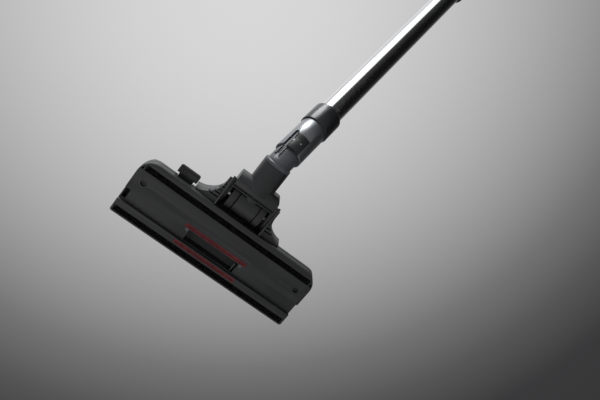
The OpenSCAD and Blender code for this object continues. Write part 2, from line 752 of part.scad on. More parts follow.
// The block that joins shell and neck, rounded where it meets the floor side
module knuckle_block() difference() {
    union() {
        translate([0, block_end - block_r, foot_z + block_r]) across(knuckle_w, block_r);
        across_profile([[foot_y, foot_z], [block_end - block_r, foot_z],
            [block_end, foot_z + block_r], [block_end, tilt_z + 7],
            [block_end - 5, tilt_z + 15], [tilt_y + 8, tilt_z + shell_r - 1.6],
            [tilt_y, tilt_z + shell_r - 1.6], [tilt_y, tilt_z + 8], [foot_y, tilt_z + 8]], knuckle_w);
    }
    // one rounded corner
    translate([-side_x, block_end, -cut]) difference() {
        translate([-cut, -corner_r, 0]) cube([corner_r + cut, corner_r + cut, 80]);
        translate([corner_r, -corner_r, -cut]) cylinder(h = 90, r = corner_r);
    }
}

module knuckle() placed() color(plastic_mid) difference() {
    union() {
        difference() {
            at_tilt() across(knuckle_w, shell_r);
            across_profile(under_side, knuckle_w + 2);
        }
        knuckle_block();
        on_neck(neck_start) cylinder(h = neck_l - neck_start, r = neck_r);
        // fillet where the neck leaves the block
        on_neck(neck_start - 2) cylinder(h = 7, r1 = neck_r + 3.2, r2 = neck_r);
    }
    // room for wheels and drum
    at_tilt() across(knuckle_w - 2 * shell_t, shell_in);
    // passage of the drum's nozzle, then the wider bore of the neck
    on_neck(10) cylinder(h = neck_l, r = nozzle_r + seat_gap);
    on_neck(neck_start + 1) cylinder(h = neck_l, r = neck_bore);
    at_tilt() across(knuckle_w + 2, pin_r + run_gap);
    // window to the duct
    across_profile([rim(10, window_angle), rim(40, window_angle), rim(40, front_rim_angle + 2),
        rim(10, front_rim_angle + 2)], drum_w - 8);
    // groove of the swivel ring
    on_neck(ring_s - seat_gap) tube(2 + 2 * seat_gap, neck_bore + 0.9, neck_bore - 1);
}

// The closed drum that leads the air from the window into the neck
module air_drum() placed() color(plastic_mid) difference() {
    union() {
        at_tilt() across(drum_w, drum_r);
        on_neck(8) cylinder(h = neck_start - 7.2, r = nozzle_r);
    }
    at_tilt() across(drum_w - 2 * drum_wall, drum_r - drum_wall);
    on_neck(2) cylinder(h = neck_start + 4, r = nozzle_r - drum_wall);
    across_profile([rim(5, window_angle + 1), rim(40, window_angle + 1), rim(40, front_rim_angle),
        rim(5, front_rim_angle)], drum_w - 8);
}

drum_wall = 1.6;

module swivel_ring() placed() color(plastic_grey)
    on_neck(ring_s) tube(2, neck_bore + 0.8, ring_in);

module neck_seal() placed() color(rubber)
    on_neck(spigot_s - 4) tube(3.8, neck_bore, neck_bore - 1.6);

// ---------- elbow ----------

// A bent pipe of radius r: two straight runs and a slightly larger ball where they meet
module bent_pipe(r, from, to) {
    on_neck(from) cylinder(h = elbow_l - from, r = r);
    on_neck(elbow_l) sphere(r + ball_extra);
    on_wand(0) cylinder(h = to, r = r);
}

module elbow() placed() color(plastic_grey) difference() {
    union() {
        bent_pipe(turn_r, spigot_s, sleeve_at);
        // running collar inside the neck
        on_neck(spigot_s) tube(spigot_l, spigot_r, turn_r - 0.5);
        // outer pipe and knee above the neck's rim, with a guide rib beside the latch
        intersection() {
            union() {
                on_wand(0) cylinder(h = sleeve_at - 0.5, r = band_r);
                on_neck(elbow_l) sphere(band_r);
                intersection() {
                    on_wand(6) translate([lever_x1 + 3, 0, 0]) cube([1.4, 30, sleeve_at - 7.5]);
                    on_wand(0) cylinder(h = sleeve_at, r = band_r + 1.8);
                }
            }
            on_neck(neck_l + 0.3) cylinder(h = 3 * sleeve_at, r = 3 * band_r);
        }
        // lip that closes the neck's rim
        on_neck(neck_l + 0.3) {
            tube(lip_t - 1.4, neck_r, turn_bore);
            translate([0, 0, lip_t - 1.4]) difference() {
                cylinder(h = 1.4, r1 = neck_r, r2 = neck_r - 1.4);
                translate([0, 0, -cut]) cylinder(h = 1.4 + 2 * cut, r = turn_bore);
            }
        }
        // spigot that the sleeve fits over
        on_wand(sleeve_at - 6) cylinder(h = spigot_end - sleeve_at + 6, r = elbow_r);
    }
    bent_pipe(turn_bore, spigot_s - cut, spigot_end + cut);
    on_wand(sleeve_at - 4) cylinder(h = spigot_end, r = elbow_bore);
    // groove of the swivel ring
    on_neck(ring_s - 0.2) tube(2.4, spigot_r + 1, ring_in - seat_gap);
    // pocket that the latch's hook drops into
    on_wand(latch_hook_s - 2) translate([-hook_x - 0.8, elbow_r - 0.6, 0])
        cube([2 * hook_x + 1.6, 4, 6]);
}

latch_hook_s = sleeve_at + 5;

module sleeve_gasket() placed() color(rubber)
    on_wand(spigot_end - 8) tube(4, sleeve_bore - run_gap, elbow_r + run_gap);

// ---------- wand sleeve, latch and collar ----------

module wand_sleeve() placed() color(plastic_grey) difference() {
    on_wand(sleeve_at) union() {
        cylinder(h = 1.2, r1 = sleeve_r - 0.8, r2 = sleeve_r);
        translate([0, 0, 1.2]) cylinder(h = sleeve_l - 1.2, r = sleeve_r);
    }
    on_wand(sleeve_at - cut) cylinder(h = spigot_end - sleeve_at + cut + 1, r = sleeve_bore);
    on_wand(spigot_end) cylinder(h = sleeve_l, r = tube_r - 2.4);
    on_wand(tube_at) cylinder(h = sleeve_l, r = tube_r + run_gap);
    // bed of the latch and the groove beside it, above a thin floor
    difference() {
        union() {
            on_wand(sleeve_at - cut) translate([lever_x0 - pass_gap, 0, 0])
                cube([lever_x1 - lever_x0 + 2 * pass_gap, 30, lever_end + pass_gap + cut]);
            on_wand(sleeve_at - cut) translate([lever_x1, 0, 0]) cube([5, 30, lever_end + 4 + cut]);
        }
        on_wand(0) cylinder(h = 3 * sleeve_l, r = bed_r);
        // lugs of the latch's pin
        intersection() {
            on_wand(latch_pivot - 2) for (side = [-1, 1])
                translate([side * lug_x - lug_t / 2, bed_r - 4, 0]) cube([lug_t, 20, 4]);
            on_wand(0) cylinder(h = 3 * sleeve_l, r = sleeve_r - 0.4);
        }
    }
    // window of the hook
    on_wand(latch_hook_s - 2) translate([-hook_x - 0.8, elbow_r - 1, 0]) cube([2 * hook_x + 1.6, 4, 6]);
    on_wand(latch_pivot) translate([0, latch_pin_y, 0]) across(2 * lug_x + 2 * lug_t, pin_in + run_gap);
}

latch_pin_y = bed_r + 1.2;
pin_in = 0.7;
wire_in = 0.18;
twist_r = 0.92;
spring_x = 2.6;

// The latch rocks on its pin: its far end is pressed in and the hook at the mouth lifts
module latch_lever() placed() color(plastic_dark) difference() {
    union() {
        difference() {
            intersection() {
                on_wand(lever_s0) translate([lever_x0, 0, 0])
                    cube([lever_x1 - lever_x0, 30, sleeve_at + lever_end - lever_s0]);
                on_wand(0) cylinder(h = 3 * sleeve_l, r = lever_r);
            }
            on_wand(0) cylinder(h = 3 * sleeve_l, r = lever_in);
        }
        // raised rail that runs on over the elbow
        difference() {
            intersection() {
                on_wand(rail_s0) translate([lever_x1 - 1.4, 0, 0])
                    cube([1.4, 30, sleeve_at + lever_end - rail_s0]);
                on_wand(0) cylinder(h = 3 * sleeve_l, r = lever_r + 0.9);
            }
            on_wand(0) cylinder(h = 3 * sleeve_l, r = lever_in);
        }
        // hook, and the hub on the pin
        on_wand(latch_hook_s) translate([-hook_x, elbow_r + 0.35, 0])
            cube([2 * hook_x, lever_in - elbow_r + 0.4, 3]);
        on_wand(latch_pivot) translate([-1.2, latch_pin_y, 0]) across(4.8, pin_in + 0.9);
    }
    // pocket of the spring
    on_wand(latch_pivot) translate([spring_x, latch_pin_y, 0]) across(2.2, twist_r + 2 * wire_in);
    // room for the sleeve's floor below and the lugs at the sides
    on_wand(latch_pivot - 8) cylinder(h = 3 * sleeve_l, r = bed_r + 0.2);
    on_wand(latch_pivot) translate([0, latch_pin_y, 0]) across(2 * lug_x + 3 * lug_t, pin_in + run_gap);
    for (side = [-1, 1]) on_wand(latch_pivot - 2.6)
        translate([side * lug_x - lug_t / 2 - pass_gap, bed_r - 2, 0])
            cube([lug_t + 2 * pass_gap, 20, 5.2]);
    // finger grooves at the pressed end
    for (i = [0 : 2]) on_wand(sleeve_at + lever_end - 3 - 2.6 * i) tube(1, lever_r + 1, lever_r - 0.5);
}

module latch_pin() placed() color(steel)
    on_wand(latch_pivot) translate([0, latch_pin_y, 0]) across(2 * lug_x + lug_t, pin_in);

// Torsion spring round the pin: one leg lies on the floor, the other lifts the latch
module latch_spring() placed() color(steel) on_wand(latch_pivot) translate([spring_x, latch_pin_y, 0]) {
    difference() {
        across(1.8, twist_r + wire_in);
        across(2, twist_r - wire_in);
    }
    translate([-0.6, -twist_r, -4]) cylinder(h = 4, r = wire_in - 0.04);
    translate([0.6, -0.25, twist_r]) cylinder(h = 4, r = wire_in - 0.04);
}

module wand_collar() placed() color(plastic_dark) difference() {
    on_wand(collar_at) union() {
        translate([0, 0, 0.4]) cylinder(h = 1, r1 = collar_r - 0.8, r2 = collar_r);
        translate([0, 0, 1.4]) cylinder(h = collar_l - 5.4, r = collar_r);
        translate([0, 0, collar_l - 4]) cylinder(h = 4, r1 = collar_r, r2 = collar_r - 3);
    }
    on_wand(collar_at - cut) cylinder(h = collar_l + 2 * cut, r = tube_r + run_gap);
}

module lower_tube() placed() color(steel) on_wand(tube_at) tube(tube_l, tube_r, tube_bore);

// ---------- telescope lock ----------

module lock_housing() placed() color(plastic_dark) difference() {
    on_wand(housing_at) union() {
        cylinder(h = 3, r1 = housing_r - 3, r2 = housing_r - 0.6);
        translate([0, 0, 3]) cylinder(h = housing_l - 7, r = housing_r - 0.6);
        translate([0, 0, housing_l - 4]) cylinder(h = 4, r1 = housing_r - 0.6, r2 = housing_r - 3);
        // raised bed of the button
        translate([-button_w / 2 - 2.5, -housing_r - 2.5, 20])
            cube([button_w + 5, 12, button_l + button_travel + 7]);
    }
    on_wand(housing_at - cut) cylinder(h = tube_end - housing_at + cut, r = tube_r + run_gap);
    on_wand(tube_end - tiny) cylinder(h = housing_l, r = upper_r + pass_gap);
    on_wand(tube_end + 2) cylinder(h = housing_end - tube_end - 4, r = bush_r);
    // bay of button, pawl and spring
    on_wand(button_at - 1) translate([-button_w / 2 - pass_gap, -housing_r - 3.5, 0])
        cube([button_w + 2 * pass_gap, 6.5, button_l + button_travel + 2]);
    on_wand(pawl_at - pass_gap) translate([-3 - pass_gap, -housing_r - 1, 0])
        cube([6 + 2 * pass_gap, housing_r - upper_r + 4, 6 + 2 * pass_gap]);
}

bush_r = upper_r + 1.6;
button_at = housing_at + 23;
pawl_at = button_at + 8;
pawl_y = upper_r + 0.35;

module guide_bush() placed() color(plastic_grey) difference() {
    on_wand(tube_end + 2.1) tube(housing_end - tube_end - 4.2, bush_r - seat_gap, upper_r + 0.1);
    on_wand(pawl_at - pass_gap) translate([-3 - pass_gap, -housing_r - 1, 0])
        cube([6 + 2 * pass_gap, housing_r, 6 + 2 * pass_gap]);
}

// The button slides towards the floor end and its ramp lifts the pawl
module slide_button() placed() color(plastic_grey) on_wand(button_at + button_travel) difference() {
    union() {
        translate([-button_w / 2, -housing_r - 3.4, 0]) cube([button_w, 5.6, button_l]);
        for (i = [0 : 3]) translate([0, -housing_r - 3.4, 6 + 4.5 * i]) across(button_w - 3, 1);
    }
    // hollow over the pawl and the spring
    translate([-4, -housing_r - 1.4, -cut]) cube([8, 6, button_l - 2]);
}

module button_spring() placed() color(steel)
    on_wand(button_at - 0.9) translate([0, -housing_r + 0.2, 0]) coil(1.3, 0.25, 3, 6.5);

module lock_pawl() placed() color(steel) on_wand(pawl_at) difference() {
    translate([-3, -housing_r + 0.6, 0]) cube([6, housing_r - 0.6 - pawl_y, 6]);
    translate([-4, -housing_r - 0.6, 6]) rotate([45, 0, 0]) cube([8, 2.4, 2.4]);
}

// ---------- upper wand ----------

module upper_tube() placed() color(steel)
    on_wand(upper_at) tube(upper_end - upper_at, upper_r, upper_r - upper_wall);

module tail_bush() placed() color(plastic_grey) on_wand(upper_at - 3) difference() {
    union() {
        cylinder(h = 22, r = upper_r - upper_wall - run_gap);
        cylinder(h = 2.9, r = tube_bore - 0.1);
    }
    translate([0, 0, -cut]) cylinder(h = 24 + cut, r = upper_r - upper_wall - 1.2);
}

module end_ferrule() placed() color(plastic_dark) difference() {
    on_wand(ferrule_at) union() {
        cylinder(h = 3, r1 = ferrule_r - 1.6, r2 = ferrule_r);
        translate([0, 0, 3]) cylinder(h = ferrule_l - 4, r = ferrule_r);
        translate([0, 0, ferrule_l - 1]) cylinder(h = 1, r1 = ferrule_r, r2 = ferrule_r - 1);
        translate([0, 0, ferrule_l - 9]) cylinder(h = 5, r = ferrule_r + 1.2);
    }
    on_wand(ferrule_at - cut) cylinder(h = upper_end - ferrule_at + cut, r = upper_r + run_gap);
    on_wand(ferrule_at) cylinder(h = ferrule_l, r = upper_r - upper_wall);
    on_wand(wand_len - socket_l) cylinder(h = socket_l + cut, r = socket_r);
    // catch hole for the handle's button
    on_wand(wand_len - 20) rotate([90, 0, 0]) cylinder(h = 40, r = 3.5);
}

sole_plate();
head_cover();
air_duct();
duct_seal();
front_lint_strip();
rear_lint_strip();
lint_strip_studs();
base_screws();
brush_carriage();
front_bristle_holder();
front_bristles();
rear_bristle_holder();
rear_bristles();
carriage_springs();
pedal();
pedal_shaft();
pedal_spring();
hinge_pins();
left_wheel();
right_wheel();
left_tyre();
right_tyre();
knuckle();
air_drum();
swivel_ring();
neck_seal();
elbow();
sleeve_gasket();
wand_sleeve();
latch_lever();
latch_pin();
latch_spring();
wand_collar();
lower_tube();
lock_housing();
guide_bush();
slide_button();
button_spring();
lock_pawl();
upper_tube();
tail_bush();
end_ferrule();
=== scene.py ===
# %% [markdown]
# # A vacuum cleaner's floor head on a telescopic wand
# The real object is a flat moulded head with two rows of bristles and two strips of velvet on its
# underside, a knuckle with two wheels, an elbow, and a polished steel tube. Its shape comes from
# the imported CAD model, which is loaded first and never moved. What Blender adds is looks: rounded
# edges, bristles, pile, small mouldings and materials.

# %% Load the frame and keep its size
import json
import math

import bpy
from mathutils import Matrix, Vector


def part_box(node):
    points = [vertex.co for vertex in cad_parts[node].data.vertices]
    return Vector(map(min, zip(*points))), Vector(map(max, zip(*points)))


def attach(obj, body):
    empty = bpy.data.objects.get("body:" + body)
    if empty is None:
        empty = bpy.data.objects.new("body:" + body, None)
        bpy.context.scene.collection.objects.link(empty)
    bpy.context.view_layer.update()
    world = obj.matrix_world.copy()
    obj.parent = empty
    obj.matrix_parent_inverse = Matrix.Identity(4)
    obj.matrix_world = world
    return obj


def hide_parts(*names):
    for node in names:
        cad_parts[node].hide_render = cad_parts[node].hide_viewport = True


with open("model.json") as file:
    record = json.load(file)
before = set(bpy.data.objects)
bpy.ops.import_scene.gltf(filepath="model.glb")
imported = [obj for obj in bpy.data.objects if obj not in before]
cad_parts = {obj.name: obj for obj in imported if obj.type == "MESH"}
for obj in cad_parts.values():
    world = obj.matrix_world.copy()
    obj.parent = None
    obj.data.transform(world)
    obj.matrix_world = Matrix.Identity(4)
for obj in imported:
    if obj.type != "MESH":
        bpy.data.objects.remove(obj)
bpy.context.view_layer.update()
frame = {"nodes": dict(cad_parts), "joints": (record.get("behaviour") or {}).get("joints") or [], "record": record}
nodes = frame["nodes"]
joints = {joint["name"]: joint for joint in frame["joints"]}
MM = 0.001
print("nodes loaded:", len(nodes))

# %% [markdown]
# ## Places to measure from
# Every piece is placed from the CAD model, so that it fits without trial and error. The head has
# a frame of its own: its sole lies on z = 0, and its centre is on the Z axis. The wand has one
# too, with Z along the tube and Y towards its underside. Both come from the record's joints.

# %% Frames of the head and of the wand
sole_low, sole_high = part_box("sole_plate")
HEAD = Vector(((sole_low.x + sole_high.x) / 2, (sole_low.y + sole_high.y) / 2, sole_low.z))
ELBOW = Vector(joints["swivel"]["pos_m"])
WAND_X = Vector(joints["latch_press"]["axis"]).normalized()
WAND_Y = -Vector(joints["pawl_lift"]["axis"]).normalized()
WAND_Z = WAND_X.cross(WAND_Y).normalized()


def on_head(x, y, z):
    """A point of the head's own frame, given in millimetres."""
    return HEAD + Vector((x, y, z)) * MM


def axes(x_axis, y_axis, z_axis, origin):
    """The matrix that takes a piece's own axes to these."""
    turn = Matrix((x_axis, y_axis, z_axis)).transposed().to_4x4()
    return Matrix.Translation(origin) @ turn


print("head at", tuple(round(v, 4) for v in HEAD), "elbow at", tuple(round(v, 4) for v in ELBOW))

# %% [markdown]
# ## Camera
# The camera looks up at the sole from below and a little behind, with a moderate lens, so that
# the steel tube runs out of the picture at the top right. It has no roll: its own X axis is
# level. Its axes are given as three unit vectors, which is the plainest way to aim a camera.

# %% Make the camera
camera_data = bpy.data.cameras.new("studio_camera")
camera_data.sensor_width = 36
camera_data.lens = 33.6
camera_data.clip_end = 20
camera = bpy.data.objects.new("studio_camera", camera_data)
bpy.context.scene.collection.objects.link(camera)
CAMERA_RIGHT = Vector((-0.785826, 0.618448, 0.000564))
CAMERA_UP = Vector((0.586191, 0.744547, 0.319422))
CAMERA_BACK = Vector((0.197126, 0.251341, -0.947612))
CAMERA_AT = on_head(94.616, 299.988, -684.577)
camera.matrix_world = axes(CAMERA_RIGHT, CAMERA_UP, CAMERA_BACK, CAMERA_AT)
bpy.context.scene.camera = camera
bpy.context.scene.view_settings.view_transform = "Standard"
print("camera at", tuple(round(v, 3) for v in CAMERA_AT))

# %% [markdown]
# ## Floor
# The floor is a plain pale plane, far enough under the head that the camera fits between them and
# that the wand can be pulled out to its full length above it. It isn't part of the object.

# %% Helpers to select, and the floor


def bare():
    """Deselects everything, because an operator acts on all that is selected."""
    if bpy.context.object and bpy.context.object.mode != "OBJECT":
        bpy.ops.object.mode_set(mode="OBJECT")
    for thing in list(bpy.context.selected_objects):
        thing.select_set(False)


def take(piece):
    """Makes one piece the only selected and active object."""
    bare()
    piece.select_set(True)
    bpy.context.view_layer.objects.active = piece


bare()
bpy.ops.mesh.primitive_plane_add(size=14, location=on_head(0, 0, -950))
floor = bpy.context.object
floor.name = "studio_floor"

# %% [markdown]
# ## Shader maths as Python
# A material's patterns are sums and products of a few noises. Wrapping a socket in a small class
# lets them be written as ordinary expressions: each operator adds one Math node.

# %% The socket class


class Field:
    """A socket of a material's nodes that can be added, multiplied and compared in Python."""

    def __init__(self, tree, socket=None):
        self.tree = tree
        self.socket = socket

    def node(self, kind, settings=None, inputs=None, out=0):
        """Adds a node: its settings first, then its sockets' values or links."""
        made = self.tree.nodes.new(kind)
        for name, value in (settings or {}).items():
            if name == "stops":
                ramp = made.color_ramp
                while len(ramp.elements) < len(value):
                    ramp.elements.new(0.5)
                for element, (place, colour) in zip(ramp.elements, value):
                    element.position = place
                    element.color = colour if len(colour) == 4 else (*colour, 1)
            else:
                setattr(made, name, value)
        for name, value in (inputs or {}).items():
            if isinstance(value, Field):
                self.tree.links.new(value.socket, made.inputs[name])
            else:
                made.inputs[name].default_value = value
        return Field(self.tree, made.outputs[out] if made.outputs else None)

    def math(self, operation, *others, clamp=False):
        values = {0: self}
        values.update({i + 1: other for i, other in enumerate(others)})
        return self.node("ShaderNodeMath", {"operation": operation, "use_clamp": clamp}, values)

    def __add__(self, other):
        return self.math("ADD", other)

    def __sub__(self, other):
        return self.math("SUBTRACT", other)

    def __mul__(self, other):
        return self.math("MULTIPLY", other)

    def __rsub__(self, other):
        return self.node("ShaderNodeMath", {"operation": "SUBTRACT"}, {0: other, 1: self})

    __radd__ = __add__
    __rmul__ = __mul__

    def band(self, low, high):
        """0 at low, 1 at high, smooth between."""
        return self.node("ShaderNodeMapRange", {"interpolation_type": "SMOOTHSTEP"},
                         {"Value": self, "From Min": low, "From Max": high})

    def blend(self, first, second):
        """The colour first where this is 0, and second where it is 1."""
        return self.node("ShaderNodeMix", {"data_type": "RGBA"},
                         {0: self, 6: first, 7: second}, out=2)


def colour(red, green, blue):
    return (red, green, blue, 1)


# %% [markdown]
# ## Studio light
# A polished tube shows the room more than itself, so the surroundings matter. What the camera
# sees directly is a grey backdrop that darkens away from one bright spot. What the object sees
# is a soft room with one bright panel and one dark side, which gives the tube its bright and
# dark bands. Two area lights add the soft shadows.

# %% Backdrop and room
world = bpy.data.worlds.new("studio_room")
world.use_nodes = True
bpy.context.scene.world = world
room = world.node_tree
room.nodes.clear()
start = Field(room)
toward = start.node("ShaderNodeTexCoord")
toward.socket = toward.socket.node.outputs["Generated"]


def facing(direction):
    """How far a direction of the room faces this one, from -1 to 1."""
    return start.node("ShaderNodeVectorMath", {"operation": "DOT_PRODUCT"},
                      {0: toward, 1: Vector(direction).normalized()}, out=1)


BRIGHT_SPOT = -CAMERA_BACK - CAMERA_RIGHT * 0.098 + CAMERA_UP * 0.375
round_spot = facing(BRIGHT_SPOT) * 0.5 + 0.5
backdrop = round_spot.node("ShaderNodeValToRGB", {"stops": [
    (0.0, (0.42, 0.42, 0.42)), (0.62, (0.42, 0.42, 0.42)), (0.72, (0.12, 0.12, 0.12)),
    (0.79, (0.036, 0.036, 0.037)), (0.845, (0.042, 0.041, 0.043)),
    (0.8725, (0.095, 0.093, 0.095)), (0.8975, (0.174, 0.172, 0.173)),
    (0.925, (0.312, 0.309, 0.310)), (0.960, (0.487, 0.483, 0.485)), (1.0, (0.69, 0.685, 0.687))]},
    {"Fac": round_spot})
panel = facing((0.50, 0.80, 0.33)).band(0.905, 0.955)
edge_glow = facing((0.45, 0.30, 0.84)).band(0.55, 0.98)
pale_side = facing(-CAMERA_BACK).band(0.2, 0.95)
under_panel = facing((0.10, -0.20, -0.95)).band(0.10, 0.95)
dark_side = facing((-0.90, 0.40, 0.0)).band(0.35, 0.85)
bright = 0.05 + pale_side * 0.20 + panel * 1.7 + edge_glow * 0.75 + under_panel * 0.32
level = bright * (1 - dark_side * 0.85)
seen = start.node("ShaderNodeLightPath").socket.node.outputs["Is Camera Ray"]
seen = Field(room, seen)
room_light = start.node("ShaderNodeBackground", {},
                        {"Color": colour(0.98, 0.99, 1.0), "Strength": level})
back_light = start.node("ShaderNodeBackground", {}, {"Color": backdrop, "Strength": 1.0})
both = start.node("ShaderNodeMixShader", {}, {0: seen, 1: room_light, 2: back_light})
start.node("ShaderNodeOutputWorld", {}, {"Surface": both})

# %% Area lights


def soft_light(name, at, size, watts, aim, tint=(1, 1, 1)):
    """A square area light at a point of the head's frame, turned towards another."""
    data = bpy.data.lights.new(name, "AREA")
    data.shape = "SQUARE"
    data.size = size
    data.energy = watts
    data.color = tint
    lamp = bpy.data.objects.new(name, data)
    bpy.context.scene.collection.objects.link(lamp)
    place = on_head(*at)
    turn = (place - on_head(*aim)).to_track_quat("Z", "Y").to_matrix().to_4x4()
    lamp.matrix_world = Matrix.Translation(place) @ turn
    return lamp


soft_light("key_light", (600, 900, 400), 0.5, 7, (0, 40, 0))
soft_light("under_light", (250, -350, -800), 0.9, 1.4, (0, 20, 0))

# %% [markdown]
# ## Materials
# Moulded plastic is never one even colour: it has a fine grain from the tool, slow changes of
# tone, and small scuffs that show as changes of gloss. All patterns read Object coordinates,
# which are metres here, so a scale of 2000 gives a grain of half a millimetre.

# %% Plastics
materials = {}


def begin(name):
    """A new material with its shader, and a Field to make nodes from."""
    material = bpy.data.materials.new(name)
    material.use_nodes = True
    tree = material.node_tree
    shader = tree.nodes["Principled BSDF"]
    base = Field(tree)
    place = base.node("ShaderNodeTexCoord")
    place.socket = place.socket.node.outputs["Object"]
    materials[name] = material
    return material, shader, base, place


def noise(base, place, scale, detail=3.0, rough=0.55):
    return base.node("ShaderNodeTexNoise", {}, {"Vector": place, "Scale": scale,
                     "Detail": detail, "Roughness": rough})


def plug(shader, name, field):
    shader.id_data.links.new(field.socket, shader.inputs[name])


def raised(base, shader, height, depth, strength=1.0):
    """Feeds a height pattern into the shader's normal."""
    bump = base.node("ShaderNodeBump", {},
                     {"Height": height, "Distance": depth, "Strength": strength})
    plug(shader, "Normal", bump)


def moulded(name, tone, pale, gloss, grain, depth, specular=0.45):
    """Moulded plastic: slow change of tone, fine grain, thin scuffs."""
    material, shader, base, place = begin(name)
    slow = noise(base, place, 14, 2).band(0.3, 0.7)
    fine = noise(base, place, grain, 3, 0.6)
    cells = base.node("ShaderNodeTexVoronoi", {"feature": "F1"},
                      {"Vector": place, "Scale": grain * 0.55})
    scuff_place = base.node("ShaderNodeMapping", {}, {"Vector": place, "Scale": (30, 420, 160)})
    scuffs = noise(base, scuff_place, 1.0, 4, 0.7).band(0.60, 0.78)
    dust = noise(base, place, 260, 5, 0.75).band(0.60, 0.80)
    mix = slow * 0.45 + fine * 0.20 + dust * 0.18 + scuffs * 0.17
    plug(shader, "Base Color", mix.blend(colour(*tone), colour(*pale)))
    plug(shader, "Roughness", gloss + slow * 0.05 + dust * 0.08 - scuffs * 0.06)
    raised(base, shader, fine * 0.7 + cells * 0.6, depth)
    shader.inputs["Specular IOR Level"].default_value = specular
    return material


moulded("base_plastic", (0.014, 0.0145, 0.0155), (0.032, 0.033, 0.035), 0.42, 2300, 0.00005)
moulded("cover_plastic", (0.020, 0.0205, 0.022), (0.042, 0.043, 0.046), 0.38, 1900, 0.00005)
moulded("grey_plastic", (0.075, 0.080, 0.088), (0.125, 0.132, 0.142), 0.36, 2100, 0.00003)
moulded("wheel_plastic", (0.014, 0.0145, 0.016), (0.034, 0.035, 0.038), 0.36, 2300, 0.00004)

# %% [markdown]
# ## Metals
# The sleeve and the collar are metal with a satin coat: a fine round brushing under lacquer. The
# tube is polished steel, with hair-fine drawing marks along it. To run the marks along the tube,
# a Mapping node turns Object coordinates onto the wand's own axes and stretches them.

# %% Satin and polished metals
wand_turn = Matrix((WAND_X, WAND_Y, WAND_Z)).to_euler()


def along_wand(base, place, stretch):
    """Object coordinates measured on the wand's axes, then stretched."""
    turned = base.node("ShaderNodeMapping", {}, {"Vector": place, "Rotation": wand_turn})
    return base.node("ShaderNodeMapping", {}, {"Vector": turned, "Scale": stretch})


def brushed(name, tone, pale, gloss, stretch, depth, metal, coat=0.0):
    """Metal with fine marks: stretch gives how many waves per metre each way on the wand."""
    material, shader, base, place = begin(name)
    marks = noise(base, along_wand(base, place, stretch), 1.0, 4, 0.6)
    slow = noise(base, place, 22, 2).band(0.3, 0.7)
    smears = noise(base, place, 75, 4, 0.65).band(0.55, 0.75)
    plug(shader, "Base Color", (marks * 0.6 + slow * 0.4).blend(colour(*tone), colour(*pale)))
    plug(shader, "Roughness", gloss + marks * 0.07 + smears * 0.05)
    raised(base, shader, marks, depth, 0.35)
    shader.inputs["Metallic"].default_value = metal
    shader.inputs["Coat Weight"].default_value = coat
    shader.inputs["Coat Roughness"].default_value = 0.12
    return material


brushed("polished_steel", (0.56, 0.56, 0.57), (0.70, 0.70, 0.71),
        0.10, (2600, 2600, 26), 0.000012, 1.0)
brushed("sleeve_satin", (0.19, 0.20, 0.215), (0.26, 0.27, 0.285),
        0.30, (300, 300, 3200), 0.00001, 0.75, 0.1)
brushed("collar_satin", (0.030, 0.031, 0.033), (0.055, 0.056, 0.06),
        0.27, (300, 300, 3200), 0.00001, 0.55, 0.15)
brushed("zinc", (0.48, 0.48, 0.49), (0.62, 0.62, 0.62), 0.28, (700, 700, 700), 0.00002, 1.0)
brushed("dark_screw_metal", (0.020, 0.020, 0.021), (0.045, 0.045, 0.047),
        0.38, (900, 900, 900), 0.00002, 0.6)

# %% [markdown]
# ## Soft finishes
# Velvet is dense short pile that leans one way. Its threads are modelled as geometry further on,
# so the material only has to vary their colour and give the soft sheen that cloth has at a
# glancing view. Rubber is dull, and bristles are dark nylon with a little gloss.

# %% Velvet, bristle and rubber


def cloth_pile(name, tone, pale):
    material, shader, base, place = begin(name)
    tufts = noise(base, place, 1500, 3, 0.7)
    slow = noise(base, place, 90, 3).band(0.35, 0.65)
    plug(shader, "Base Color", (tufts * 0.65 + slow * 0.35).blend(colour(*tone), colour(*pale)))
    plug(shader, "Roughness", 0.80 + tufts * 0.15)
    raised(base, shader, tufts, 0.0002)
    shader.inputs["Sheen Weight"].default_value = 0.25
    shader.inputs["Sheen Roughness"].default_value = 0.4
    shader.inputs["Sheen Tint"].default_value = colour(1.0, 0.35, 0.30)
    return material


def soft_rubber(name, tone, pale, gloss, grain, depth):
    material, shader, base, place = begin(name)
    fine = noise(base, place, grain, 4, 0.65)
    bloom = noise(base, place, 120, 4, 0.6).band(0.45, 0.75)
    plug(shader, "Base Color", (fine * 0.5 + bloom * 0.5).blend(colour(*tone), colour(*pale)))
    plug(shader, "Roughness", gloss + bloom * 0.12)
    raised(base, shader, fine, depth)
    return material


cloth_pile("velvet", (0.085, 0.012, 0.016), (0.24, 0.045, 0.052))
soft_rubber("bristle", (0.006, 0.006, 0.0065), (0.022, 0.022, 0.024), 0.42, 2600, 0.00003)
soft_rubber("rubber", (0.012, 0.012, 0.012), (0.030, 0.030, 0.030), 0.62, 1700, 0.00005)
soft_rubber("tyre", (0.016, 0.016, 0.017), (0.040, 0.040, 0.042), 0.55, 1500, 0.00008)

material, shader, base, place = begin("studio_pale")
shade = noise(base, place, 3, 3)
plug(shader, "Base Color", shade.blend(colour(0.60, 0.60, 0.60), colour(0.64, 0.64, 0.64)))
shader.inputs["Roughness"].default_value = 0.85
floor.data.materials.append(material)
print("materials:", ", ".join(sorted(materials)))

# %% [markdown]
# ## Give every CAD node its finish
# The record names a material slot for each node. Assigning by that table means that a node can't
# be forgotten, and that a piece that later replaces a node can look its finish up in the same way.

# %% Finishes by node
slot_of = {part["node"]: part["material_slot"] for part in frame["record"]["subparts"]}


def finish(piece, slot):
    """Gives a piece one material, the one named by slot."""
    piece.data.materials.clear()
    piece.data.materials.append(materials[slot])
    return piece


for name, thing in nodes.items():
    finish(thing, slot_of[name])
# The base screws get a nearly black metal in place of their slot's finish, which keeps the screw holes dark.
finish(nodes["base_screws"], "dark_screw_metal")
print("finished nodes:", len(slot_of))

